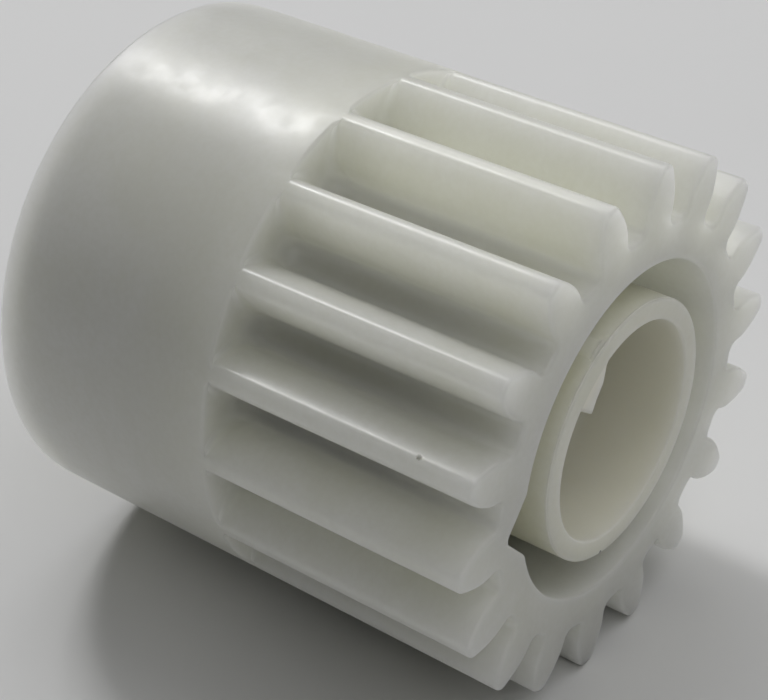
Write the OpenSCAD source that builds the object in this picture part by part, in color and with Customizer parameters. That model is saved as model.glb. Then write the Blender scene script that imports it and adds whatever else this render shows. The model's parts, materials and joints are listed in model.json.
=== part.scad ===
// Slip-clutch spur gear: a moulded gear with a long plain collar of the same outer diameter.
// It turns on a keyed hub sleeve through a wrap spring, and a snap-in cap closes its back.
// The axis lies along Y. The toothed face looks towards -Y and the cap towards +Y.

/* [Teeth] */
// Gear module: pitch diameter divided by the number of teeth
module_mm = 1.5; // [1.4:0.05:1.6]
// Number of teeth
teeth = 18; // [18:1:20]
// Pressure angle in degrees
pressure_angle = 20; // [18:1:22]
// Direction of the first tooth, in degrees from +X towards +Z
tooth_phase = 1.4; // [0:0.1:19.9]
// Thinning of each tooth at the pitch circle, for backlash
backlash = 0.08; // [0:0.02:0.2]
// Length of the toothed part
face_w = 16.2; // [16:0.1:20]

/* [Collar] */
// Length of the plain collar behind the teeth
collar_w = 14.7; // [14.5:0.1:20]
// Wall of the collar round its hollow back
collar_wall = 2.8; // [2.2:0.1:2.9]
// Bevel on the outer edges
edge_bevel = 0.35; // [0.1:0.05:0.6]

/* [Front recess] */
// Diameter of the ring-shaped recess in the toothed face
recess_d = 19; // [18.6:0.1:19.6]
// Depth of the recess
recess_depth = 16; // [15:0.1:16.2]
// Depth of the locating notch in the recess wall
notch_depth = 1.35; // [1.1:0.05:1.4]
// Half of the notch's mouth, in degrees
notch_half_angle = 12; // [11:0.5:14]
// Direction of the notch, in degrees from +X towards +Z
notch_angle = 181.4; // [170:0.1:190]

/* [Hub sleeve] */
// Outer diameter of the hub sleeve
sleeve_d = 14.8; // [14.4:0.05:14.8]
// Diameter of the shaft that the bore takes
shaft_d = 12; // [11:0.5:12]
// Radial clearance between shaft and bore
shaft_clearance = 0.02; // [0.01:0.01:0.05]
// Diameter of the wider mouth that holds the drive lug
mouth_d = 12.4; // [12.4:0.05:12.6]
// Depth of the mouth, and length of the drive lug
mouth_depth = 6; // [4:0.5:8]
// Radius at the tip of the drive lug
lug_tip_r = 4.8; // [4.5:0.05:5.1]

/* [Wrap spring] */
// Wire diameter
wire_d = 1.2; // [0.9:0.1:1.2]
// Number of turns
spring_turns = 6.5; // [4.5:0.5:6.5]
// Gap between turns
turn_gap = 0.06; // [0.04:0.02:0.12]

/* [Running parts] */
// Radial clearance of the hub sleeve in the bush and the cap
running_gap = 0.05; // [0.03:0.01:0.08]
// Outer diameter of the bearing bush
bush_d = 17; // [16.6:0.1:17.4]
// Thickness of each thrust washer
washer_t = 0.4; // [0.3:0.05:0.5]
// Diameter of the hub's thrust flange
flange_d = 19.6; // [19:0.1:20]
// Thickness of the hub's thrust flange
flange_t = 1; // [0.8:0.1:1.2]
// Thickness of the rear cap
cap_t = 2; // [1.8:0.1:2.2]

/* [Hidden] */
$fn = 96;

// how far a cutting shape reaches past the face that it cuts
past = 1;

plastic = [0.80, 0.80, 0.76];
bronze = [0.62, 0.47, 0.27];
steel = [0.66, 0.67, 0.69];
film = [0.86, 0.84, 0.72];

// teeth
pitch_r = module_mm * teeth / 2;
tip_r = pitch_r + module_mm;
root_r = pitch_r - 1.25 * module_mm;
base_r = pitch_r * cos(pressure_angle);
tooth_pitch = 360 / teeth;
half_tooth = tooth_pitch / 4 - backlash / 2 / pitch_r * 180 / PI;
flank_steps = 8;
// the blank stands a little proud of the tip circle, and is then turned down to it
blank_r = tip_r + 0.3;

// fillet between the foot of a tooth and the root circle
fillet_r = 0.38 * module_mm;
fillet_centre_r = root_r + fillet_r;
fillet_half = asin(fillet_r / fillet_centre_r);
fillet_steps = 4;

// places along the axis, as depths behind the toothed face
total_w = face_w + collar_w;
axial_play = 0.05;
cap_at = total_w - cap_t;
rear_washer_at = cap_at - axial_play - washer_t;
flange_at = rear_washer_at - axial_play - flange_t;
front_washer_at = flange_at - axial_play - washer_t;
tube_end = front_washer_at - axial_play;
chamber_at = face_w + collar_wall;
lip_t = 0.6;
bush_at = recess_depth + lip_t;
bush_w = tube_end - bush_at;

// radii inside the gear
recess_r = recess_d / 2;
sleeve_r = sleeve_d / 2;
mouth_r = mouth_d / 2;
bore_r = shaft_d / 2 + shaft_clearance;
bush_r = bush_d / 2;
bush_bevel = 0.3;
bearing_r = sleeve_r + running_gap;
washer_in_r = sleeve_r + 2 * running_gap;
tube_r = bush_r + 1.7;
lip_r = sleeve_r + 0.3;
chamber_r = tip_r - collar_wall;
notch_tip_r = recess_r + notch_depth;
notch_tip_half_w = 0.2;

// drive lug: a ramp on one side and a radial flank on the other
lug_root_r = mouth_r + 0.4;
lug_ramp_r = 5.3;
lug_ramp_foot = 110.5;
lug_ramp_top = 120;
lug_tip_angle = 138.5;
lug_flank_foot = 139.8;

// short bead just below the rim of the hub sleeve, on its outside
bead_from = 106;
bead_to = 119;
bead_h = 0.2;
bead_at = 0.15;
bead_w = 0.25;
sleeve_bevel = 0.15;

// rear cap: its seat in the collar, its snap bead, dished outer face and pry notches
seat_r = chamber_r + 0.4;
cap_gap = 0.05;
cap_r = seat_r - cap_gap;
cap_bevel = 0.2;
snap_h = 0.25;
groove_w = 0.6;
groove_at = cap_at + (cap_t - groove_w) / 2;
snap_w = groove_w - 2 * cap_gap;
dish_depth = 0.5;
dish_rim = 1.2;
pry_notches = 3;
pry_w = 2.4;
pry_h = 0.9;
pry_depth = 1;

// wrap spring: its tang lies in the notch, and its coil closes on the hub sleeve
wire_r = wire_d / 2;
wire_sides = 8;
coil_r = bearing_r + wire_r;
coil_pitch = wire_d + turn_gap;
coil_steps = 30;
tang_depth = recess_depth - wire_r - 0.15;
tang_end_r = notch_tip_r - 0.55;
bend_r = 1.1;
bend_steps = 5;
bend_centre = [sqrt(pow(coil_r + bend_r, 2) - pow(bend_r, 2)), bend_r];
bend_sweep = acos(bend_r / (coil_r + bend_r));

// ring that keeps the spring in the recess, with prongs that bite its wall
retainer_t = 0.5;
retainer_at = tang_depth - coil_pitch * spring_turns - wire_r - 0.15 - retainer_t;
retainer_bore_r = sleeve_r + 0.4;
prongs = 10;
prong_w = 1.6;
prong_foot_r = recess_r - 0.7;

function polar(r, a) = r * [cos(a), sin(a)];
function turned(p, a) = [p.x * cos(a) - p.y * sin(a), p.x * sin(a) + p.y * cos(a)];
function flipped(points) = [for (p = points) [p.x, -p.y]];
function reversed(points) = [for (i = [len(points) - 1 : -1 : 0]) points[i]];
function unit(v) = v / norm(v);

// ---- gear outline ----

// angle between an involute's start and its point at pressure angle a, in degrees
function involute(a) = tan(a) * 180 / PI - a;

// half of a tooth's width at radius r, in degrees
function half_width(r) = half_tooth + involute(pressure_angle) - involute(acos(min(1, base_r / r)));

// the fillet of a tooth's upper side, from the root circle out to the flank
function fillet_points() = [
    for (i = [0 : fillet_steps])
        let (
            middle = half_width(base_r) + fillet_half,
            towards = middle - 180 + (90 - fillet_half) * i / fillet_steps
        )
        polar(fillet_centre_r, middle) + polar(fillet_r, towards)
];

function flank_points() = [
    for (i = [0 : flank_steps])
        let (r = base_r + (blank_r - base_r) * i / flank_steps)
        polar(r, half_width(r))
];

// one tooth about the X axis, from its lower foot round its tip to its upper foot
function tooth_points() =
    let (upper = concat(fillet_points(), flank_points()))
    concat(flipped(upper), reversed(upper));

function gear_points() = [
    for (k = [0 : teeth - 1], p = tooth_points())
        turned(p, tooth_phase + k * tooth_pitch)
];

// ---- wrap spring ----

// middle line of the wire: the straight tang, the bend, and the coil rising to the front
function wire_line() = concat(
    [[tang_end_r, 0, 0]],
    [
        for (i = [0 : bend_steps])
            let (p = bend_centre + polar(bend_r, -90 - bend_sweep * i / bend_steps))
            [p.x, p.y, 0]
    ],
    [
        for (i = [1 : round(coil_steps * spring_turns)])
            let (p = polar(coil_r, 90 - bend_sweep + 360 * i / coil_steps))
            [p.x, p.y, coil_pitch * i / coil_steps]
    ]
);

// direction of a line at its point i
function line_dir(line, i) = unit(line[min(i + 1, len(line) - 1)] - line[max(i - 1, 0)]);

// the wire's outline round its middle line at point i
function wire_ring(line, i) =
    let (
        side = unit(cross(line_dir(line, i), [0, 0, 1])),
        up = cross(side, line_dir(line, i))
    )
    [
        for (j = [0 : wire_sides - 1])
            let (a = 360 * (j + 0.5) / wire_sides)
            line[i] + wire_r * (cos(a) * side + sin(a) * up)
    ];

function wire_points(line) = [
    for (i = [0 : len(line) - 1], p = wire_ring(line, i)) p
];

function wire_faces(rings) = concat(
    [[for (j = [wire_sides - 1 : -1 : 0]) j]],
    [
        for (i = [0 : rings - 2], j = [0 : wire_sides - 1])
            let (
                here = i * wire_sides,
                there = here + wire_sides,
                next = (j + 1) % wire_sides
            )
            [here + j, here + next, there + next, there + j]
    ],
    [[for (j = [0 : wire_sides - 1]) (rings - 1) * wire_sides + j]]
);

// ---- shapes placed by their depth behind the toothed face ----

// lays down a shape that is drawn along Z with its toothed face on top
module lie_down() {
    rotate([90, 0, 0])
        children();
}

// moves a shape that is drawn from z = 0 up, so that its top is at this depth
module at_depth(depth, length) {
    translate([0, 0, total_w / 2 - depth - length])
        children();
}

module disc(r, depth, length) {
    at_depth(depth, length)
        cylinder(r = r, h = length);
}

module ring(r_out, r_in, depth, length) {
    difference() {
        disc(r_out, depth, length);
        disc(r_in, depth - past, length + 2 * past);
    }
}

module bevelled_disc(r, depth, length, bevel) {
    at_depth(depth, length)
        rotate_extrude()
            polygon([
                [0, 0],
                [r - bevel, 0],
                [r, bevel],
                [r, length - bevel],
                [r - bevel, length],
                [0, length]
            ]);
}

// ---- gear body ----

module gear_blank() {
    intersection() {
        union() {
            at_depth(0, face_w)
                linear_extrude(face_w)
                    polygon(gear_points());
            disc(blank_r, face_w, collar_w);
        }
        bevelled_disc(tip_r, 0, total_w, edge_bevel);
    }
}

module locating_notch() {
    at_depth(-past, recess_depth + past)
        linear_extrude(recess_depth + past)
            rotate(notch_angle)
                polygon([
                    [recess_r - past, 0],
                    polar(recess_r - 0.1, -notch_half_angle),
                    [notch_tip_r, -notch_tip_half_w],
                    [notch_tip_r, notch_tip_half_w],
                    polar(recess_r - 0.1, notch_half_angle)
                ]);
}

module gear_body() {
    color(plastic)
        lie_down()
            difference() {
                gear_blank();
                disc(recess_r, -past, recess_depth + past);
                locating_notch();
                disc(lip_r, recess_depth - past, lip_t + 2 * past);
                disc(bush_r, bush_at, total_w);
                ring(chamber_r, tube_r, chamber_at, total_w);
                disc(chamber_r, tube_end, total_w);
                disc(seat_r, cap_at, total_w);
                disc(seat_r + snap_h, groove_at, groove_w);
            }
}

// ---- hub sleeve ----

module drive_lug() {
    at_depth(0, mouth_depth)
        linear_extrude(mouth_depth)
            polygon([
                polar(lug_root_r, lug_ramp_foot),
                polar(lug_ramp_r, lug_ramp_top),
                polar((lug_ramp_r + lug_tip_r) / 2, (lug_ramp_top + lug_tip_angle) / 2),
                polar(lug_tip_r, lug_tip_angle),
                polar(lug_root_r, lug_flank_foot)
            ]);
}

module rim_bead() {
    at_depth(bead_at, bead_w)
        rotate(bead_from)
            rotate_extrude(angle = bead_to - bead_from)
                translate([sleeve_r - bead_h, 0])
                    square([2 * bead_h, bead_w]);
}

module hub_sleeve() {
    color(plastic)
        lie_down() {
            difference() {
                union() {
                    bevelled_disc(sleeve_r, 0, total_w, sleeve_bevel);
                    disc(flange_d / 2, flange_at, flange_t);
                    rim_bead();
                }
                disc(mouth_r, -past, mouth_depth + past);
                disc(bore_r, mouth_depth - past, total_w);
            }
            drive_lug();
        }
}

// ---- parts between the gear and the hub ----

module wrap_spring() {
    line = wire_line();
    color(steel)
        lie_down()
            at_depth(tang_depth, 0)
                rotate(notch_angle)
                    polyhedron(wire_points(line), wire_faces(len(line)));
}

module spring_retainer() {
    color(steel)
        lie_down()
            difference() {
                union() {
                    disc(prong_foot_r, retainer_at, retainer_t);
                    for (k = [0 : prongs - 1])
                        intersection() {
                            disc(recess_r, retainer_at, retainer_t);
                            at_depth(retainer_at, retainer_t)
                                rotate(notch_angle + (k + 0.5) * 360 / prongs)
                                    translate([retainer_bore_r, -prong_w / 2, 0])
                                        cube([recess_r, prong_w, retainer_t]);
                        }
                }
                disc(retainer_bore_r, retainer_at - past, retainer_t + 2 * past);
            }
}

module bearing_bush() {
    color(bronze)
        lie_down()
            difference() {
                bevelled_disc(bush_r, bush_at, bush_w, bush_bevel);
                disc(bearing_r, bush_at - past, bush_w + 2 * past);
            }
}

module front_thrust_washer() {
    color(film)
        lie_down()
            ring(flange_d / 2, washer_in_r, front_washer_at, washer_t);
}

module rear_thrust_washer() {
    color(film)
        lie_down()
            ring(flange_d / 2, washer_in_r, rear_washer_at, washer_t);
}

// ---- rear cap ----

module pry_notch() {
    at_depth(total_w - pry_depth, pry_depth + past)
        translate([cap_r - pry_h, -pry_w / 2, 0])
            cube([pry_h + past, pry_w, pry_depth + past]);
}

module rear_cap() {
    color(plastic)
        lie_down()
            difference() {
                union() {
                    bevelled_disc(cap_r, cap_at, cap_t, cap_bevel);
                    bevelled_disc(cap_r + snap_h, groove_at + cap_gap, snap_w, cap_bevel);
                }
                disc(bearing_r, cap_at - past, cap_t + 2 * past);
                ring(cap_r - dish_rim, sleeve_r + dish_rim, total_w - dish_depth, dish_depth + past);
                for (k = [0 : pry_notches - 1])
                    rotate(90 + k * 360 / pry_notches)
                        pry_notch();
            }
}

gear_body();
hub_sleeve();
wrap_spring();
spring_retainer();
bearing_bush();
front_thrust_washer();
rear_thrust_washer();
rear_cap();
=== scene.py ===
"""Looks of the slip-clutch spur gear: skins over the CAD nodes, with materials, lights and camera.

Lengths in the shape sections are millimetres and angles are degrees. A depth is measured along +Y from
the toothed face, and a direction from +X towards +Z about the axis. Meshes and the stage are in metres.
"""

import json
import math

import bmesh
import bpy
import numpy as np
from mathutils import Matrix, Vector


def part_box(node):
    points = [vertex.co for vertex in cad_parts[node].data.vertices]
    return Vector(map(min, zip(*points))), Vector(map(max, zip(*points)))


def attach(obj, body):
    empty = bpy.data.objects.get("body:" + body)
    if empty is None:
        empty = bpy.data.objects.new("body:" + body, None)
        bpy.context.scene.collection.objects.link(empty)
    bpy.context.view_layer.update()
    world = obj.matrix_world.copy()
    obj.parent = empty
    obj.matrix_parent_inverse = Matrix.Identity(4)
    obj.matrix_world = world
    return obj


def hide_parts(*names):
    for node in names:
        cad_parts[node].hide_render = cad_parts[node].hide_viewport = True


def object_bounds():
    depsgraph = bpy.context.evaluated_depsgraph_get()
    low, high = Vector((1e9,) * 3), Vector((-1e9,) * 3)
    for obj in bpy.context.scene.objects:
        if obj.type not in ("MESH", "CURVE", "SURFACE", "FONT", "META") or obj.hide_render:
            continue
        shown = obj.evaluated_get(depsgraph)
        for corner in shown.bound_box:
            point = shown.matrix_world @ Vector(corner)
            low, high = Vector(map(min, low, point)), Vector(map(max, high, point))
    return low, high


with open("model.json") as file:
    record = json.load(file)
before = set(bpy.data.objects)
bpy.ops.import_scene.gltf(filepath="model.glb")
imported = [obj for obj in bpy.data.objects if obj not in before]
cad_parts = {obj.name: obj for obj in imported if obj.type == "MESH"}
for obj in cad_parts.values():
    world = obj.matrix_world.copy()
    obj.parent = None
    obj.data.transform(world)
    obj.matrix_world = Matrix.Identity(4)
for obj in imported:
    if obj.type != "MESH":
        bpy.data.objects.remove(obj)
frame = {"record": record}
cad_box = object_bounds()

MM = 0.001

# ---- sizes taken from the frame ----

gear_low, gear_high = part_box("gear_body")
front_y = gear_low.y
total_w = (gear_high.y - gear_low.y) / MM
tip_r = gear_high.z / MM
bore_r = next(m for m in frame["record"]["mounts"] if m["name"] == "shaft_bore")["dims"]["r_mm"]


def depths(node):
    """Depths of a node's front and back."""
    low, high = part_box(node)
    return (low.y - front_y) / MM, (high.y - front_y) / MM


def radius_of(node):
    """Outer radius of a round node."""
    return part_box(node)[1].z / MM


# ---- sizes of the gear, as the CAD has them ----

TEETH = 18
TOOTH_PHASE = 1.4
PRESSURE_ANGLE = 20
BACKLASH = 0.08
FACE_W = 16.2
module = 2 * tip_r / (TEETH + 2)
pitch_r = tip_r - module
root_r = pitch_r - 1.25 * module
base_r = pitch_r * math.cos(math.radians(PRESSURE_ANGLE))
tooth_pitch = 360 / TEETH

RECESS_R = 9.5
RECESS_DEPTH = 16
NOTCH_R = 10.85
NOTCH_HALF_ANGLE = 12
NOTCH_TIP_HALF_W = 0.2
NOTCH_ANGLE = 181.4

SLEEVE_R = 7.4
MOUTH_R = 6.2
MOUTH_DEPTH = 6
LUG_CORNERS = [(6.6, 110.5), (5.3, 120), (5.05, 129.25), (4.8, 138.5), (6.6, 139.8)]
BEAD_FROM = 106
BEAD_TO = 119
BEAD_AT = 0.15
BEAD_W = 0.25
BEAD_H = 0.2

bush_from, bush_to = depths("bearing_bush")
bush_r = radius_of("bearing_bush")
cap_from, cap_to = depths("rear_cap")
washer_from, washer_to = depths("front_thrust_washer")
rear_washer_from, rear_washer_to = depths("rear_thrust_washer")
flange_r = radius_of("front_thrust_washer")
AXIAL_PLAY = 0.05
flange_from = washer_to + AXIAL_PLAY
flange_to = rear_washer_from - AXIAL_PLAY
ring_from, ring_to = depths("spring_retainer")

RUNNING_GAP = 0.05
TUBE_R = 10.2
LIP_R = SLEEVE_R + 0.3
CHAMBER_R = 12.2
CHAMBER_AT = 19
SEAT_R = 12.6
CAP_R = 12.55
SNAP_H = 0.25
GROOVE_W = 0.6


# ---- points and paths ----

def polar(radius, angle):
    """Points in the face plane, (x, z), from radii and directions."""
    turn = np.radians(angle)
    return np.stack([radius * np.cos(turn), radius * np.sin(turn)], -1)


def bend(start, corner, end, steps):
    """A smooth bend from start to end that a sharp corner would join."""
    t = np.linspace(0, 1, steps + 1)[:, None]
    return (1 - t) ** 2 * start + 2 * t * (1 - t) * corner + t ** 2 * end


def soft_path(corners, steps=4, closed=False):
    """A path through corners given as (a, b, rounding), with each corner rounded off."""
    spots = np.array([c[:2] for c in corners], float)
    count = len(spots)
    path = []
    for i, corner in enumerate(corners):
        inner = closed or 0 < i < count - 1
        if not inner or corner[2] == 0:
            path.append(spots[i][None])
            continue
        ahead = spots[(i + 1) % count] - spots[i]
        back = spots[i - 1] - spots[i]
        reach = min(corner[2], 0.45 * np.linalg.norm(ahead), 0.45 * np.linalg.norm(back))
        start = spots[i] + back / np.linalg.norm(back) * reach
        end = spots[i] + ahead / np.linalg.norm(ahead) * reach
        path.append(bend(start, spots[i], end, steps))
    return np.concatenate(path)


def stretched(path, longest):
    """The same path with extra points, so that no step is longer than this."""
    out = [path[0]]
    for a, b in zip(path[:-1], path[1:]):
        pieces = max(1, math.ceil(np.linalg.norm(b - a) / longest))
        out += [a + (b - a) * (k + 1) / pieces for k in range(pieces)]
    return np.array(out)


def ring(flat, depth):
    """A ring of points (x, depth, z) from points of the face plane and their depth."""
    flat = np.asarray(flat, float)
    return np.stack([flat[:, 0], np.broadcast_to(depth, len(flat)), flat[:, 1]], -1)


def turned_rings(path, angles):
    """The rings that a path of (radius, depth) sweeps when it is turned about the axis."""
    return [ring(polar(r, angles), d) for r, d in path]


def outward(outline):
    """Outward directions of a closed outline that runs from +X towards +Z."""
    along = np.roll(outline, -1, 0) - np.roll(outline, 1, 0)
    side = np.stack([along[:, 1], -along[:, 0]], -1)
    return side / np.linalg.norm(side, axis=1)[:, None]


def edge_rings(outline, sides, size, depth, steps=4):
    """Rings that round an edge, from the flat face at this depth over to the wall behind it."""
    rings = []
    for turn in np.linspace(0, math.pi / 2, steps + 1):
        inset = size * (1 - math.sin(turn))
        rings.append(ring(outline - sides * inset, depth + size * (1 - math.cos(turn))))
    return rings


# ---- pieces ----

def mark_edges(mesh):
    """Stores how sharply the skin bends at each point: above 0.5 on edges, below it in corners."""
    count = len(mesh.vertices)
    spots = np.empty(count * 3)
    mesh.vertices.foreach_get("co", spots)
    spots = spots.reshape(-1, 3)
    normals = np.empty(count * 3)
    mesh.vertex_normals.foreach_get("vector", normals)
    normals = normals.reshape(-1, 3)
    ends = np.empty(len(mesh.edges) * 2, int)
    mesh.edges.foreach_get("vertices", ends)
    a, b = ends.reshape(-1, 2).T
    reach = spots[b] - spots[a]
    length = np.linalg.norm(reach, axis=1) + 1e-9
    bending = np.einsum("ij,ij->i", normals[b] - normals[a], reach) / length ** 2
    weight = np.minimum(length, 0.4 * MM)
    total = np.bincount(a, bending * weight, count) + np.bincount(b, bending * weight, count)
    share = np.bincount(a, weight, count) + np.bincount(b, weight, count)
    bending = total / share * MM
    for _ in range(2):
        near = np.bincount(a, bending[b], count) + np.bincount(b, bending[a], count)
        neighbours = np.bincount(a, minlength=count) + np.bincount(b, minlength=count)
        bending = 0.5 * bending + 0.5 * near / neighbours
    edge = mesh.attributes.new("edge", "FLOAT", "POINT")
    edge.data.foreach_set("value", np.clip(0.5 + bending * 0.35, 0, 1))


def skin(name, rings, closed=True):
    """A mesh object from rings of points (x, depth, z); a closed skin joins its last ring to its first."""
    rings = np.array(rings)
    count, lines = rings.shape[:2]
    spots = rings.reshape(-1, 3) * MM
    spots[:, 1] += front_y
    index = np.arange(count * lines).reshape(count, lines)
    here = index if closed else index[:-1]
    there = np.roll(index, -1, 0) if closed else index[1:]
    quads = np.stack([here, np.roll(here, -1, 1), np.roll(there, -1, 1), there], -1).reshape(-1, 4)
    faces = quads.tolist()
    if not closed:
        faces += [index[0].tolist(), index[-1][::-1].tolist()]
    mesh = bpy.data.meshes.new(name)
    mesh.from_pydata(spots.tolist(), [], faces)
    tidy = bmesh.new()
    tidy.from_mesh(mesh)
    bmesh.ops.remove_doubles(tidy, verts=tidy.verts, dist=0.002 * MM)
    bmesh.ops.recalc_face_normals(tidy, faces=tidy.faces)
    tidy.to_mesh(mesh)
    tidy.free()
    mesh.shade_smooth()
    mark_edges(mesh)
    piece = bpy.data.objects.new(name, mesh)
    bpy.context.scene.collection.objects.link(piece)
    flat = piece.modifiers.new("flat faces", "WEIGHTED_NORMAL")
    flat.keep_sharp = True
    return piece


def stands_for(piece, node, body, material):
    """Puts a piece in a CAD node's place."""
    piece.data.materials.append(material)
    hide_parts(node)
    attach(piece, body)


# ---- gear outline ----

def involute(angle):
    """Angle between an involute's start and its point at a pressure angle."""
    return math.degrees(math.tan(math.radians(angle))) - angle


half_tooth = tooth_pitch / 4 - math.degrees(BACKLASH / 2 / pitch_r)


def half_width(radius):
    """Half of a tooth's width at a radius."""
    at = math.degrees(math.acos(min(1, base_r / radius)))
    return half_tooth + involute(PRESSURE_ANGLE) - involute(at)


ROOT_FILLET = 0.57
TIP_ROUNDING = 0.3


def tooth_side():
    """The upper side of a tooth about the +X direction, from its root circle out to its tip."""
    centre_r = root_r + ROOT_FILLET
    half = math.degrees(math.asin(ROOT_FILLET / centre_r))
    middle = half_width(base_r) + half
    turns = middle - 180 + (90 - half) * np.linspace(0, 1, 6)[:-1]
    fillet = polar(centre_r, np.full(5, middle)) + polar(ROOT_FILLET, turns)
    radii = np.linspace(base_r, tip_r - TIP_ROUNDING, 7)
    flank = np.array([polar(r, half_width(r)) for r in radii])
    corner = polar(tip_r, half_width(tip_r))
    land = polar(tip_r, half_width(tip_r) - math.degrees(TIP_ROUNDING / tip_r))
    return np.concatenate([fillet, flank, bend(flank[-1], corner, land, 4)[1:]])


def gear_outline():
    """Points of the whole outline, and which of them lie on the tip circle."""
    upper = tooth_side()
    lower = upper * [1, -1]
    land_end = np.degrees(np.arctan2(upper[-1, 1], upper[-1, 0]))
    land = polar(tip_r, np.linspace(-land_end, land_end, 4)[1:-1])
    foot = np.degrees(np.arctan2(upper[0, 1], upper[0, 0]))
    root = polar(root_r, np.linspace(foot, tooth_pitch - foot, 4)[1:-1])
    tooth = np.concatenate([lower, land, upper[::-1], root])
    on_tip = np.linalg.norm(tooth, axis=1) > tip_r - 1e-6
    outline = []
    for k in range(TEETH):
        turn = math.radians(TOOTH_PHASE + k * tooth_pitch)
        matrix = np.array([[math.cos(turn), math.sin(turn)], [-math.sin(turn), math.cos(turn)]])
        outline.append(tooth @ matrix)
    return np.concatenate(outline), np.tile(on_tip, TEETH)


outline, on_tip = gear_outline()
lines = len(outline)
per_tooth = lines // TEETH
outline_sides = outward(outline)
directions = np.degrees(np.unwrap(np.arctan2(outline[:, 1], outline[:, 0])))
even = np.arange(lines) * 360 / lines
even += np.mean(directions - even)


def collar_directions():
    """Where each line of the outline goes on the collar: tooth tips go straight on, gaps spread out."""
    spread = directions.copy()
    first, last = np.flatnonzero(on_tip[:per_tooth])[[0, -1]]
    gap = per_tooth - (last - first)
    for k in range(TEETH):
        start = k * per_tooth + last
        a = directions[start]
        b = directions[(start + gap) % lines] + (360 if start + gap >= lines else 0)
        for step in range(1, gap):
            at = (start + step) % lines
            spread[at] = a + (b - a) * step / gap - (360 if start + step >= lines else 0)
    return spread


collar = collar_directions()

SHOULDER_FILLET = 1.2
TIP_FILLET = 0.15
COLLAR_EDGE = 0.18


def fillet_size(radius):
    """The shoulder's fillet: wide at the bottom of a gap, and almost none near the tooth tips."""
    share = np.clip((radius - root_r) / (tip_r - root_r), 0, 1)
    return SHOULDER_FILLET + (TIP_FILLET - SHOULDER_FILLET) * share


def gap_distance(spots):
    """How far each point of a gap lies from the outline round it."""
    a = outline
    b = np.roll(outline, -1, 0)
    keep = ~(on_tip & np.roll(on_tip, -1))
    a, b = a[keep], b[keep]
    along = b - a
    out = np.empty(len(spots))
    for i, spot in enumerate(spots):
        t = np.einsum("ij,ij->i", spot - a, along) / np.einsum("ij,ij->i", along, along)
        t = np.clip(t, 0, 1)
        out[i] = np.min(np.linalg.norm(a + along * t[:, None] - spot, axis=1))
    return out


def shoulder_rings():
    """The end walls of the tooth gaps, with their fillets, and the rounded edge of the collar."""
    shares = np.array([0, 0.03, 0.07, 0.12, 0.18, 0.26, 0.36, 0.5, 0.65, 0.8, 0.92, 1])
    round_turns = np.linspace(0, math.pi / 2, 5)[1:]
    length = SHOULDER_FILLET + COLLAR_EDGE
    ring_count = len(shares) + len(round_turns)
    radii = np.linalg.norm(outline, axis=1)
    edge_r = np.maximum(radii, tip_r - COLLAR_EDGE)
    edge = polar(edge_r, collar)
    rings = []
    edge_depth = None
    for k, share in enumerate(shares):
        flat = outline + (edge - outline) * share
        size = fillet_size(np.linalg.norm(flat, axis=1))
        near = np.minimum(gap_distance(flat), size)
        rise = size - np.sqrt(size ** 2 - (size - near) ** 2)
        depth = FACE_W - rise
        edge_depth = depth
        straight = FACE_W - SHOULDER_FILLET + length * k / (ring_count - 1)
        flat = np.where(on_tip[:, None], outline, flat)
        rings.append(ring(flat, np.where(on_tip, straight, depth)))
    for k, turn in enumerate(round_turns):
        size = tip_r - edge_r
        flat = polar(edge_r + size * math.sin(turn), collar)
        depth = edge_depth + size * (1 - math.cos(turn))
        straight = FACE_W - SHOULDER_FILLET + length * (len(shares) + k) / (ring_count - 1)
        rings.append(ring(flat, np.where(on_tip, straight, depth)))
    return rings


# ---- gear body ----

def recess_outline():
    """Wall of the ring recess with its pointed locating notch, softened at its corners."""
    off = (even - NOTCH_ANGLE + 180) % 360 - 180
    foot = polar(RECESS_R, NOTCH_HALF_ANGLE)
    tip = np.array([NOTCH_R, NOTCH_TIP_HALF_W])
    slope = tip - foot
    ray = polar(1, np.abs(off))
    side = (foot[0] * slope[1] - foot[1] * slope[0]) / (ray[:, 0] * slope[1] - ray[:, 1] * slope[0])
    flat_tip = NOTCH_R / np.cos(np.radians(off))
    radius = np.where(np.abs(off) < NOTCH_HALF_ANGLE, np.minimum(side, flat_tip), RECESS_R)
    radius = np.maximum(radius, RECESS_R)
    for _ in range(2):
        radius = (np.roll(radius, 1) + 2 * radius + np.roll(radius, -1)) / 4
    return polar(radius, even)


TOOTH_EDGE = 0.22
RECESS_EDGE = 0.16
LONGEST = 1.6
# radius of the face's middle ring of points, just inside the tooth roots, and how far its
# points turn from the outline's directions towards even ones
FACE_RING_R = 11.22
EVEN_SHARE = 0.03


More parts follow.
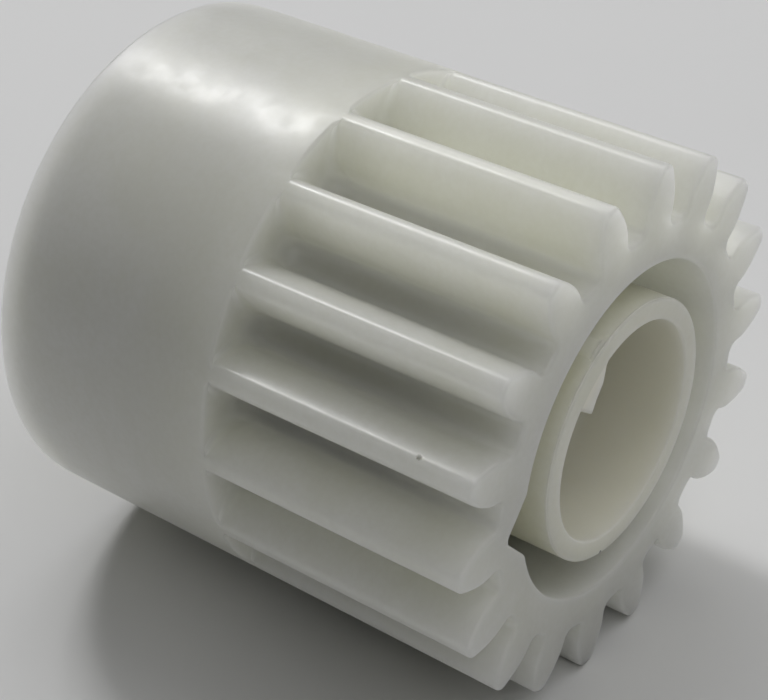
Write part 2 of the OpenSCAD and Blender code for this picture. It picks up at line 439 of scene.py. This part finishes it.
def gear_body():
    recess = recess_outline()
    recess_sides = outward(recess)
    rings = edge_rings(outline, outline_sides, TOOTH_EDGE, 0)
    tooth_length = FACE_W - SHOULDER_FILLET - TOOTH_EDGE
    steps = math.ceil(tooth_length / LONGEST)
    for k in range(1, steps):
        rings.append(ring(outline, TOOTH_EDGE + tooth_length * k / steps))
    rings += shoulder_rings()

    # the collar: its lines even out as they run back
    start = FACE_W + COLLAR_EDGE
    steps = math.ceil((total_w - start) / LONGEST)
    rear_edge = 0.35
    for k in range(1, steps):
        share = k / steps
        ease = min(1, share * 2)
        angle = collar + (even - collar) * ease
        rings.append(ring(polar(tip_r, angle), start + (total_w - rear_edge - start) * share))

    # back rim, cap seat with its snap groove, rear chamber, bearing tube and bush seat
    groove_from = (cap_from + cap_to) / 2 - GROOVE_W / 2
    groove_to = groove_from + GROOVE_W
    inside = soft_path([
        (tip_r, total_w - 1, 0),
        (tip_r, total_w, rear_edge),
        (SEAT_R, total_w, 0.2),
        (SEAT_R, groove_to, 0.05),
        (SEAT_R + SNAP_H, groove_to - 0.1, 0.1),
        (SEAT_R + SNAP_H, groove_from + 0.1, 0.1),
        (SEAT_R, groove_from, 0.05),
        (SEAT_R, cap_from, 0.1),
        (CHAMBER_R, cap_from, 0.1),
        (CHAMBER_R, CHAMBER_AT, 0.5),
        (TUBE_R, CHAMBER_AT, 0.5),
        (TUBE_R, bush_to, 0.2),
        (bush_r, bush_to, 0.25),
        (bush_r, bush_from, 0.1),
        (LIP_R, bush_from, 0.1),
        (LIP_R, RECESS_DEPTH, 0.15),
        (LIP_R + 1, RECESS_DEPTH, 0),
    ])[1:]
    rings += turned_rings(stretched(inside, 2 * LONGEST), even)

    # recess floor, wall and rim, then the toothed face back to the first ring
    floor_fillet = 0.3
    for turn in np.linspace(0, math.pi / 2, 4):
        inset = floor_fillet * (1 - math.sin(turn))
        depth = RECESS_DEPTH - floor_fillet * (1 - math.cos(turn))
        rings.append(ring(recess - recess_sides * inset, depth))
    wall = RECESS_DEPTH - floor_fillet - RECESS_EDGE
    steps = math.ceil(wall / (2 * LONGEST))
    for k in range(1, steps):
        rings.append(ring(recess, RECESS_DEPTH - floor_fillet - wall * k / steps))
    rim = edge_rings(recess, -recess_sides, RECESS_EDGE, 0)[::-1]
    rings += rim
    inner = rim[-1][:, [0, 2]]
    outer = rings[0][:, [0, 2]]
    towards = np.degrees(np.unwrap(np.arctan2(outer[:, 1], outer[:, 0])))
    middle = polar(FACE_RING_R, towards + (even - towards) * EVEN_SHARE)
    for share in (0.15, 0.5, 0.85):
        rings.append(ring(inner + (middle - inner) * share, 0))
    for share in (0, 0.5, 0.85):
        rings.append(ring(middle + (outer - middle) * share, 0))
    return skin("gear_body_skin", rings)


# ---- hub sleeve ----

def lug_path():
    """The drive lug's outline, a ramp and a steep flank with softened corners."""
    corners = [tuple(polar(r, a)) + (0.16,) for r, a in LUG_CORNERS]
    return stretched(soft_path(corners, 4), 0.3)


lug = lug_path()
lug_directions = np.degrees(np.arctan2(lug[:, 1], lug[:, 0]))
lug_radii = np.linalg.norm(lug, axis=1)
plain_from = lug_directions[-1] + 0.6
plain_to = lug_directions[0] + 360 - 0.6
hub_angles = np.concatenate([lug_directions, np.linspace(plain_from, plain_to, 120)])


def mouth(base):
    """The mouth's wall at this radius, with the drive lug standing out of it."""
    radius = np.full(len(hub_angles), float(base))
    radius[:len(lug_radii)] = np.minimum(base, lug_radii)
    return polar(radius, hub_angles)


def hub_sleeve():
    mouth_edge = 0.14
    rim_edge = 0.16
    wall = mouth(MOUTH_R)
    rings = edge_rings(wall, -outward(wall), mouth_edge, 0)
    steps = 5
    for k in range(1, steps):
        rings.append(ring(wall, MOUTH_DEPTH * k / steps))
    rings.append(ring(wall, MOUTH_DEPTH))

    inside = soft_path([
        (bore_r, MOUTH_DEPTH - 0.001, 0),
        (bore_r, total_w, 0.3),
        (SLEEVE_R, total_w, 0.15),
        (SLEEVE_R, flange_to, 0.1),
        (flange_r, flange_to, 0.15),
        (flange_r, flange_from, 0.15),
        (SLEEVE_R, flange_from, 0.2),
        (SLEEVE_R, BEAD_AT + 2 * BEAD_W, 0),
    ])
    rings += turned_rings(stretched(inside, 2 * LONGEST), hub_angles)

    # the short bead just below the rim, then the rim
    ends = np.minimum(hub_angles - BEAD_FROM, BEAD_TO - hub_angles)
    along = np.clip(ends / 2, 0, 1)
    along = along * along * (3 - 2 * along)
    for turn in np.linspace(0, math.pi, 7):
        height = BEAD_H * math.sin(turn) ** 0.8 * along
        depth = BEAD_AT + BEAD_W / 2 * (1 + math.cos(turn))
        rings.append(ring(polar(SLEEVE_R + height, hub_angles), depth))
    circle = polar(SLEEVE_R, hub_angles)
    rings += edge_rings(circle, polar(1, hub_angles), rim_edge, 0)[::-1]
    inner = rings[0][:, [0, 2]]
    outer = rings[-1][:, [0, 2]]
    rings.append(ring((inner + outer) / 2, 0))
    return skin("hub_sleeve_skin", rings)


# ---- clutch parts ----

WIRE_R = 0.6
SPRING_TURNS = 6.5
COIL_PITCH = 1.26
TANG_DEPTH = 15.25
TANG_END_R = 10.3
BEND_R = 1.1


def wire_line():
    """Middle line of the spring's wire as (x, z, depth): the tang, its bend, and the coil."""
    coil_r = SLEEVE_R + RUNNING_GAP + WIRE_R
    sweep = math.degrees(math.acos(BEND_R / (coil_r + BEND_R)))
    centre = np.array([math.sqrt((coil_r + BEND_R) ** 2 - BEND_R ** 2), BEND_R])
    spots = [np.array([TANG_END_R, 0, 0]), np.array([(TANG_END_R + centre[0]) / 2, 0, 0])]
    for turn in np.linspace(-90, -90 - sweep, 9):
        spots.append(np.append(centre + polar(BEND_R, turn), 0))
    steps = round(60 * SPRING_TURNS)
    for k in range(1, steps + 1):
        spot = polar(coil_r, 90 - sweep + 360 * SPRING_TURNS * k / steps)
        spots.append(np.append(spot, -COIL_PITCH * SPRING_TURNS * k / steps))
    turn = math.radians(NOTCH_ANGLE)
    matrix = np.array([[math.cos(turn), math.sin(turn)], [-math.sin(turn), math.cos(turn)]])
    spots = np.array(spots)
    spots[:, :2] = spots[:, :2] @ matrix
    spots[:, 2] += TANG_DEPTH
    return spots


def wrap_spring():
    """The wire, swept along its middle line, with slightly rounded cut ends."""
    line = wire_line()
    along = np.gradient(line, axis=0)
    along /= np.linalg.norm(along, axis=1)[:, None]
    side = np.cross(along, [0, 0, 1])
    side /= np.linalg.norm(side, axis=1)[:, None]
    up = np.cross(side, along)
    turns = np.linspace(0, 2 * math.pi, 13)[:-1]
    burr = 0.12
    spots = [(0, 0, WIRE_R - burr), (0, burr, WIRE_R)]
    spots += [(i, 0, WIRE_R) for i in range(1, len(line) - 1)]
    spots += [(len(line) - 1, -burr, WIRE_R), (len(line) - 1, 0, WIRE_R - burr)]
    rings = []
    for i, shift, radius in spots:
        middle = line[i] + along[i] * shift
        around = np.cos(turns)[:, None] * side[i] + np.sin(turns)[:, None] * up[i]
        circle = middle + radius * around
        rings.append(circle[:, [0, 2, 1]])
    return skin("wrap_spring_skin", rings, closed=False)


PRONGS = 10
PRONG_W = 1.6
PRONG_FOOT_R = RECESS_R - 0.7


def spring_retainer():
    """A stamped ring whose prongs bite the recess wall.

    Their forward lean is a guess that the CAD doesn't have.
    """
    angles = np.arange(0, 360, 1.0)
    pitch = 360 / PRONGS
    off = np.abs((angles - NOTCH_ANGLE) % pitch - pitch / 2)
    half = math.degrees(PRONG_W / 2 / RECESS_R)
    prong = np.clip((half + 0.6 - off) / 1.2, 0, 1)
    prong = prong * prong * (3 - 2 * prong)
    reach = RECESS_R - PRONG_FOOT_R - 0.02
    lean = 0.22
    thick = ring_to - ring_from
    bore = SLEEVE_R + 0.4
    rings = turned_rings(soft_path([
        (PRONG_FOOT_R - 0.2, ring_to, 0),
        (bore, ring_to, 0.06),
        (bore, ring_from, 0.12),
        (PRONG_FOOT_R - 0.2, ring_from, 0),
    ]), angles)
    # each ring over the prongs, as shares of their reach, their thickness and their lean
    over = [
        (0, 0, 0), (0.5, 0, 0.5), (0.9, 0, 1), (1, 0.15, 1),
        (1, 0.85, 1), (0.9, 1, 1), (0.5, 1, 0.5), (0, 1, 0),
    ]
    for out, through, rise in over:
        radius = PRONG_FOOT_R - 0.12 * (1 - out) + reach * out * prong
        depth = ring_from + thick * through - lean * rise * prong
        rings.append(ring(polar(radius, angles), depth))
    return skin("spring_retainer_skin", rings)


def turned_piece(name, corners, longest=2.0):
    """A closed piece turned about the axis from corners given as (radius, depth, rounding)."""
    path = soft_path(corners, 3, closed=True)
    path = stretched(np.concatenate([path, path[:1]]), longest)[:-1]
    return skin(name, turned_rings(path, np.arange(0, 360, 2.5)))


def bearing_bush():
    """A sintered bush with chamfered ends.

    The shallow oil groove in its bore is a guess that the CAD doesn't have.
    """
    bore = SLEEVE_R + RUNNING_GAP
    middle = (bush_from + bush_to) / 2
    return turned_piece("bearing_bush_skin", [
        (bush_r, bush_from, 0.3),
        (bush_r, bush_to, 0.3),
        (bore, bush_to, 0.3),
        (bore, middle + 0.8, 0.1),
        (bore + 0.2, middle + 0.5, 0.2),
        (bore + 0.2, middle - 0.5, 0.2),
        (bore, middle - 0.8, 0.1),
        (bore, bush_from, 0.3),
    ])


def thrust_washer(name, start, end):
    """A punched film washer with a rolled edge."""
    bore = SLEEVE_R + 2 * RUNNING_GAP
    soft = (end - start) * 0.35
    return turned_piece(name, [
        (flange_r, start, soft),
        (flange_r, end, soft),
        (bore, end, soft),
        (bore, start, soft),
    ])


# ---- rear cap ----

PRY_NOTCHES = 3
PRY_W = 2.4
PRY_H = 0.9
PRY_DEPTH = 1
DISH_DEPTH = 0.5
DISH_RIM = 1.2


def rear_cap():
    """The snap-in cap: dished outer face, snap bead round its edge, and three pry notches."""
    half = math.degrees(PRY_W / 2 / CAP_R)
    marks = [-half - 0.5, -half - 0.15, -half + 0.15, -half + 0.5, -2, 0, 2]
    marks = np.array(marks + [half - 0.5, half - 0.15, half + 0.15, half + 0.5])
    angles = []
    for k in range(PRY_NOTCHES):
        middle = 90 + k * 360 / PRY_NOTCHES
        angles.append(middle + marks)
        angles.append(np.linspace(middle + half + 3, middle + 360 / PRY_NOTCHES - half - 3, 42))
    angles = np.concatenate(angles)
    pitch = 360 / PRY_NOTCHES
    off = np.abs((angles - 90 + pitch / 2) % pitch - pitch / 2)
    sunk = np.clip((half + 0.2 - off) / 0.4, 0, 1) * PRY_DEPTH

    bore = SLEEVE_R + RUNNING_GAP
    outer_face = total_w
    inside = stretched(soft_path([
        (CAP_R - 0.4, cap_from, 0),
        (bore, cap_from, 0.15),
        (bore, outer_face, 0.2),
        (bore - RUNNING_GAP + DISH_RIM, outer_face, 0.15),
        (bore - RUNNING_GAP + DISH_RIM, outer_face - DISH_DEPTH, 0.3),
        (CAP_R - DISH_RIM, outer_face - DISH_DEPTH, 0.3),
        (CAP_R - DISH_RIM, outer_face, 0.15),
        (CAP_R - PRY_H - 0.05, outer_face, 0),
    ]), 1.5)
    rings = turned_rings(inside, angles)

    # the outer rim: lines inside a pry notch step down before they run out
    circle = np.full(len(angles), CAP_R)
    soft = 0.15
    rings.append(ring(polar(circle - PRY_H, angles), outer_face - np.minimum(sunk, 0.05)))
    rings.append(ring(polar(circle - PRY_H + 0.03, angles), outer_face - sunk))
    for turn in np.linspace(0, math.pi / 2, 4):
        radius = circle - soft * (1 - math.sin(turn))
        rings.append(ring(polar(radius, angles), outer_face - sunk - soft * (1 - math.cos(turn))))
    low = outer_face - PRY_DEPTH - 0.2
    bead_from = (cap_from + cap_to) / 2
    reach = np.where(sunk > 0.5, 0.0, SNAP_H)
    for shift, out in ((0.3, 0), (0.15, 0.6), (0.02, 1)):
        depth = np.minimum(bead_from + shift, outer_face - sunk - 0.16)
        rings.append(ring(polar(circle + reach * out, angles), depth))
    rings.append(ring(polar(circle + reach, angles), np.minimum(bead_from - 0.12, low)))
    rings.append(ring(polar(circle, angles), bead_from - 0.28))
    for turn in np.linspace(0, math.pi / 2, 4):
        radius = circle - 0.2 * (1 - math.cos(turn))
        rings.append(ring(polar(radius, angles), cap_from + 0.2 * (1 - math.sin(turn))))
    return skin("rear_cap_skin", rings)


# ---- materials ----

class Nodes:
    """A small helper that adds and links shader nodes."""

    def __init__(self, name):
        self.material = bpy.data.materials.new(name)
        self.material.use_nodes = True
        self.tree = self.material.node_tree
        self.shader = self.tree.nodes["Principled BSDF"]
        self.coords = self.tree.nodes.new("ShaderNodeTexCoord").outputs["Object"]

    def add(self, kind, inputs=None, **settings):
        """A node with these settings; each input is a value or another node's output."""
        node = self.tree.nodes.new(kind)
        for key, value in settings.items():
            setattr(node, key, value)
        for key, value in (inputs or {}).items():
            self.put(value, node.inputs[key])
        return node

    def put(self, value, socket):
        if isinstance(value, bpy.types.NodeSocket):
            self.tree.links.new(value, socket)
        else:
            socket.default_value = value

    def noise(self, scale, detail=2.0, roughness=0.5, coords=None, distortion=0.0):
        """Noise whose scale is in waves per metre."""
        node = self.add("ShaderNodeTexNoise", {
            "Vector": coords or self.coords, "Scale": scale, "Detail": detail,
            "Roughness": roughness, "Distortion": distortion,
        })
        return node.outputs["Fac"]

    def span(self, value, low, high, to_low=0.0, to_high=1.0):
        """Maps a value from one range to another and keeps it inside."""
        node = self.add("ShaderNodeMapRange", {
            "Value": value, "From Min": low, "From Max": high, "To Min": to_low, "To Max": to_high,
        }, interpolation_type="SMOOTHSTEP")
        return node.outputs["Result"]

    def calc(self, a, b, operation="ADD"):
        """A sum, or another operation, of two numbers."""
        return self.add("ShaderNodeMath", {0: a, 1: b}, operation=operation).outputs[0]

    def blend(self, share, a, b):
        """A mix of two colours."""
        node = self.add("ShaderNodeMix", data_type="RGBA", blend_type="MIX")
        self.put(share, node.inputs[0])
        self.put(a, node.inputs[6])
        self.put(b, node.inputs[7])
        return node.outputs[2]

    def edge(self):
        """How sharply the skin bends here, from 0 in corners to 1 on edges."""
        return self.add("ShaderNodeAttribute", attribute_name="edge").outputs["Fac"]

    def bump(self, heights):
        """Bumps stacked from (height, millimetres) pairs."""
        normal = None
        for height, size in heights:
            inputs = {"Height": height, "Strength": 1.0, "Distance": size * MM}
            if normal is not None:
                inputs["Normal"] = normal
            normal = self.add("ShaderNodeBump", inputs).outputs["Normal"]
        self.put(normal, self.shader.inputs["Normal"])


def grey(value):
    return (value, value, value, 1)


# where the bore's painted light starts outside the mouth's radius, and where it is full inside it
TINT_STARTS = 0.12
TINT_FULL = 0.03
# painted light in inner corners: their colour, as a multiple of the pale body colour
CORNER_PAINTED_LIGHT = 1.14
SPECK_COLOUR = (0.05, 0.045, 0.03, 1)


def acetal(name, main, pale, deep, seed, marks=(), bore_painted_light=None, scatter=12.0):
    """Undyed milky acetal: cloudy body colour, satin skin, a few dark specks, and painted light: a painted
    highlight that makes edges paler and painted light that makes inner corners lighter.

    Each mark is a speck at a set spot: (direction, depth, radius, size) in degrees and mm.
    The bore's painted light makes what lies inside the mouth's radius lighter and warmer.
    Scatter is how far light spreads under the skin, in mm.
    """
    n = Nodes(name)
    shifted = n.add("ShaderNodeMapping", {"Vector": n.coords, "Location": (seed, seed * 2, -seed)})
    place = shifted.outputs["Vector"]
    clouds = n.noise(150, 3, 0.6, place, 0.6)
    grain = n.noise(2600, 2, 0.6, place)
    colour = n.blend(n.span(clouds, 0.3, 0.7), main, pale)
    colour = n.blend(n.span(grain, 0.25, 0.75, 0, 0.2), colour, deep)
    # painted light: the inside of the bore turns lighter and warmer, in patches
    if bore_painted_light:
        flat = n.add("ShaderNodeVectorMath", {0: n.coords, 1: (1, 0, 1)}, operation="MULTIPLY")
        reach = n.add("ShaderNodeVectorMath", {0: flat.outputs[0]}, operation="LENGTH")
        inside = n.span(reach.outputs["Value"], (MOUTH_R + TINT_STARTS) * MM, (MOUTH_R - TINT_FULL) * MM)
        patchy = n.span(clouds, 0.2, 0.8, 0.75, 1.0)
        colour = n.blend(n.calc(inside, patchy, "MULTIPLY"), colour, bore_painted_light)
    edge = n.edge()
    painted_corner_light = tuple(CORNER_PAINTED_LIGHT * c for c in pale[:3]) + (1,)
    # painted highlight: convex edges turn towards the pale colour
    colour = n.blend(n.span(edge, 0.54, 0.85, 0, 0.6), colour, pale)
    # painted light: inner corners turn lighter than the body, standing in for light that comes through the
    # milky plastic
    colour = n.blend(n.span(edge, 0.49, 0.3, 0, 0.8), colour, painted_corner_light)
    cells = n.add("ShaderNodeTexVoronoi", {"Vector": place, "Scale": 330.0, "Randomness": 1.0})
    rare = n.add("ShaderNodeSeparateColor", {"Color": cells.outputs["Color"]}).outputs[0]
    dot = n.span(cells.outputs["Distance"], 0.05, 0.025)
    speck = n.calc(dot, n.span(rare, 0.985, 0.987), "MULTIPLY")
    for direction, depth, radius, size in marks:
        x, z = polar(radius, direction) * MM
        middle = (x, front_y + depth * MM, z)
        spot = n.add("ShaderNodeVectorMath", {0: n.coords, 1: middle}, operation="DISTANCE")
        raggedness = 0.3 * size * MM
        ragged = n.calc(spot.outputs["Value"], n.span(grain, 0.2, 0.8, -raggedness, raggedness))
        speck = n.calc(speck, n.span(ragged, size * MM, 0.5 * size * MM), "MAXIMUM")
    colour = n.blend(n.calc(speck, 0.8, "MULTIPLY"), colour, SPECK_COLOUR)
    n.put(colour, n.shader.inputs["Base Color"])
    rough = n.span(n.noise(700, 2, 0.5, place), 0.3, 0.7, 0.30, 0.37)
    n.put(rough, n.shader.inputs["Roughness"])
    shader = n.shader.inputs
    shader["IOR"].default_value = 1.48
    shader["Subsurface Weight"].default_value = 1.0
    shader["Subsurface Radius"].default_value = (1.0, 1.0, 0.95)
    shader["Subsurface Scale"].default_value = scatter * MM
    n.bump([(n.noise(170, 1, 0.4, place), 0.008), (n.noise(2400, 1, 0.5, place), 0.002)])
    return n.material


def steel(name, colour, dark, along):
    """Drawn or stamped spring steel: fine lines, uneven tone, brighter edges."""
    n = Nodes(name)
    stretch = n.add("ShaderNodeMapping", {"Vector": n.coords, "Scale": along}).outputs["Vector"]
    drawn = n.noise(9000, 3, 0.6, stretch)
    mottle = n.noise(300, 4, 0.6)
    tone = n.blend(n.span(mottle, 0.35, 0.7, 0, 0.6), colour, dark)
    tone = n.blend(n.span(n.edge(), 0.55, 0.8, 0, 0.5), tone, grey(0.82))
    n.put(tone, n.shader.inputs["Base Color"])
    n.shader.inputs["Metallic"].default_value = 1.0
    n.put(n.span(drawn, 0.2, 0.8, 0.2, 0.42), n.shader.inputs["Roughness"])
    n.bump([(drawn, 0.004), (mottle, 0.01)])
    return n.material


def sintered_bronze():
    """Oil-filled sintered bronze: fine pores and a mottled oily colour."""
    n = Nodes("sintered_bronze")
    pores = n.add("ShaderNodeTexVoronoi", {"Vector": n.coords, "Scale": 5200.0}).outputs["Distance"]
    mottle = n.noise(900, 4, 0.7)
    colour = n.blend(n.span(mottle, 0.3, 0.7), (0.55, 0.36, 0.16, 1), (0.42, 0.27, 0.12, 1))
    colour = n.blend(n.span(pores, 0.22, 0.08), colour, (0.10, 0.06, 0.03, 1))
    colour = n.blend(n.span(n.edge(), 0.55, 0.8, 0, 0.5), colour, (0.72, 0.52, 0.28, 1))
    n.put(colour, n.shader.inputs["Base Color"])
    n.shader.inputs["Metallic"].default_value = 1.0
    n.put(n.span(mottle, 0.3, 0.7, 0.32, 0.55), n.shader.inputs["Roughness"])
    n.bump([(pores, 0.02), (mottle, 0.01)])
    return n.material


def polyester_film():
    """Thin amber-tinted film with faint rolling lines and scuffs."""
    n = Nodes("polyester_film")
    stretch = n.add("ShaderNodeMapping", {"Vector": n.coords, "Scale": (1.0, 1.0, 0.06)})
    rolled = n.noise(3000, 2, 0.5, stretch.outputs["Vector"])
    scuffs = n.noise(1200, 4, 0.7)
    colour = n.blend(n.span(scuffs, 0.3, 0.7), (0.80, 0.76, 0.60, 1), (0.70, 0.65, 0.48, 1))
    colour = n.blend(n.span(n.edge(), 0.55, 0.8, 0, 0.4), colour, (0.88, 0.86, 0.76, 1))
    n.put(colour, n.shader.inputs["Base Color"])
    n.put(n.span(scuffs, 0.3, 0.7, 0.18, 0.36), n.shader.inputs["Roughness"])
    n.shader.inputs["Subsurface Weight"].default_value = 0.3
    n.shader.inputs["Subsurface Scale"].default_value = 0.5 * MM
    n.bump([(rolled, 0.003), (scuffs, 0.006)])
    return n.material


# ---- the object ----

# two of the photo's dark specks: one on a tooth, one on the sleeve's rim
GEAR_MARKS = [(159.1, 3.3, 14.8, 0.22)]
HUB_MARKS = [(-103.5, 0.05, SLEEVE_R - 0.06, 0.2)]
# the thin cap rendered grey with the body's scatter; the sleeve is thin too and has the same value
THIN_WALL_SCATTER = 3.0
gear_acetal = acetal(
    "gear_acetal",
    main=(0.745, 0.75, 0.64, 1), pale=(0.785, 0.79, 0.695, 1), deep=(0.67, 0.665, 0.54, 1),
    seed=0.3, marks=GEAR_MARKS)
# the hub's material carries painted light inside its bore
hub_acetal = acetal(
    "hub_acetal",
    main=(0.76, 0.755, 0.63, 1), pale=(0.80, 0.795, 0.68, 1), deep=(0.69, 0.67, 0.52, 1),
    seed=1.7, marks=HUB_MARKS, bore_painted_light=(0.88, 0.855, 0.72, 1), scatter=THIN_WALL_SCATTER)
cap_acetal = acetal(
    "cap_acetal",
    main=(0.735, 0.74, 0.625, 1), pale=(0.77, 0.775, 0.68, 1), deep=(0.65, 0.645, 0.52, 1),
    seed=3.1, scatter=THIN_WALL_SCATTER)
wire_steel = steel("wire_steel", grey(0.60), grey(0.36), (1.0, 8.0, 1.0))
strip_steel = steel("strip_steel", grey(0.66), grey(0.42), (1.0, 1.0, 0.1))
bronze = sintered_bronze()
film = polyester_film()

stands_for(gear_body(), "gear_body", "gear", gear_acetal)
stands_for(hub_sleeve(), "hub_sleeve", "hub", hub_acetal)
stands_for(wrap_spring(), "wrap_spring", "gear", wire_steel)
stands_for(spring_retainer(), "spring_retainer", "gear", strip_steel)
stands_for(bearing_bush(), "bearing_bush", "gear", bronze)
front_washer = thrust_washer("front_thrust_washer_skin", washer_from, washer_to)
stands_for(front_washer, "front_thrust_washer", "gear", film)
rear_washer = thrust_washer("rear_thrust_washer_skin", rear_washer_from, rear_washer_to)
stands_for(rear_washer, "rear_thrust_washer", "gear", film)
stands_for(rear_cap(), "rear_cap", "gear", cap_acetal)


# ---- camera ----

VIEW_AZIMUTH = -53.03
VIEW_ELEVATION = 34.34
LENS = 93.2
# the toothed face's centre in the view: to the right, below the middle, and ahead, in tip radii
FACE_RIGHT = 0.8422
FACE_DOWN = 0.2849
FACE_AHEAD = 6.9353


def add_camera():
    azimuth = math.radians(VIEW_AZIMUTH)
    elevation = math.radians(VIEW_ELEVATION)
    right = Vector((math.cos(azimuth), math.sin(azimuth), 0))
    ahead = Vector((
        -math.sin(azimuth) * math.cos(elevation),
        math.cos(azimuth) * math.cos(elevation),
        -math.sin(elevation),
    ))
    up = right.cross(ahead)
    radius = tip_r * MM
    data = bpy.data.cameras.new("camera")
    data.lens = LENS
    data.clip_start = 0.005
    data.clip_end = 20
    camera = bpy.data.objects.new("camera", data)
    bpy.context.scene.collection.objects.link(camera)
    face_centre = Vector((0, front_y, 0))
    camera.location = face_centre - radius * (FACE_RIGHT * right - FACE_DOWN * up + FACE_AHEAD * ahead)
    camera.rotation_euler = ahead.to_track_quat("-Z", "Y").to_euler()
    bpy.context.scene.camera = camera


# ---- stage ----

FLOOR_REACH = 3.0
FLOOR_TONES = (0.72, 0.74)


def add_floor():
    z = cad_box[0].z
    mesh = bpy.data.meshes.new("floor")
    corners = [(x * FLOOR_REACH, y * FLOOR_REACH, z) for x, y in ((-1, -1), (1, -1), (1, 1), (-1, 1))]
    mesh.from_pydata(corners, [], [(0, 1, 2, 3)])
    floor = bpy.data.objects.new("floor", mesh)
    bpy.context.scene.collection.objects.link(floor)
    n = Nodes("floor_paper")
    low, high = FLOOR_TONES
    n.put(n.blend(n.noise(40, 3), grey(low), grey(high)), n.shader.inputs["Base Color"])
    n.shader.inputs["Roughness"].default_value = 0.9
    mesh.materials.append(n.material)


LIGHT_DISTANCE = 0.6
BOX_SIZE = 0.4


def add_light(name, azimuth, elevation, width, height, power):
    """An area light in a direction seen from the object, aimed at it; azimuth 0 is towards +Y."""
    a = math.radians(azimuth)
    e = math.radians(elevation)
    towards = Vector((-math.sin(a) * math.cos(e), math.cos(a) * math.cos(e), math.sin(e)))
    data = bpy.data.lights.new(name, "AREA")
    data.shape = "RECTANGLE"
    data.size = width
    data.size_y = height
    data.energy = power
    light = bpy.data.objects.new(name, data)
    light.location = towards * LIGHT_DISTANCE
    light.rotation_euler = towards.to_track_quat("Z", "Y").to_euler()
    bpy.context.scene.collection.objects.link(light)


def add_world(strength):
    world = bpy.data.worlds.new("studio")
    world.use_nodes = True
    background = world.node_tree.nodes["Background"]
    background.inputs["Color"].default_value = (0.95, 0.97, 1.0, 1)
    background.inputs["Strength"].default_value = strength
    bpy.context.scene.world = world


add_camera()
add_floor()
add_world(0.03)
# the powers were fitted to the photo from renders with one light each, then trimmed
add_light("window_near", -26, 53, 0.11, 0.08, 0.75)
add_light("window_far", -23, 46, 0.07, 0.06, 0.3)
add_light("front_box", -150, 60, BOX_SIZE, BOX_SIZE, 0.42)
add_light("right_box", -105, 45, BOX_SIZE, BOX_SIZE, 0.42)
add_light("back_box", -45, 55, BOX_SIZE, BOX_SIZE, 0.85)
add_light("left_box", 140, 50, BOX_SIZE, BOX_SIZE, 0.55)
add_light("top_box", -90, 88, BOX_SIZE, BOX_SIZE, 0.23)
bpy.context.scene.view_settings.view_transform = "Standard"
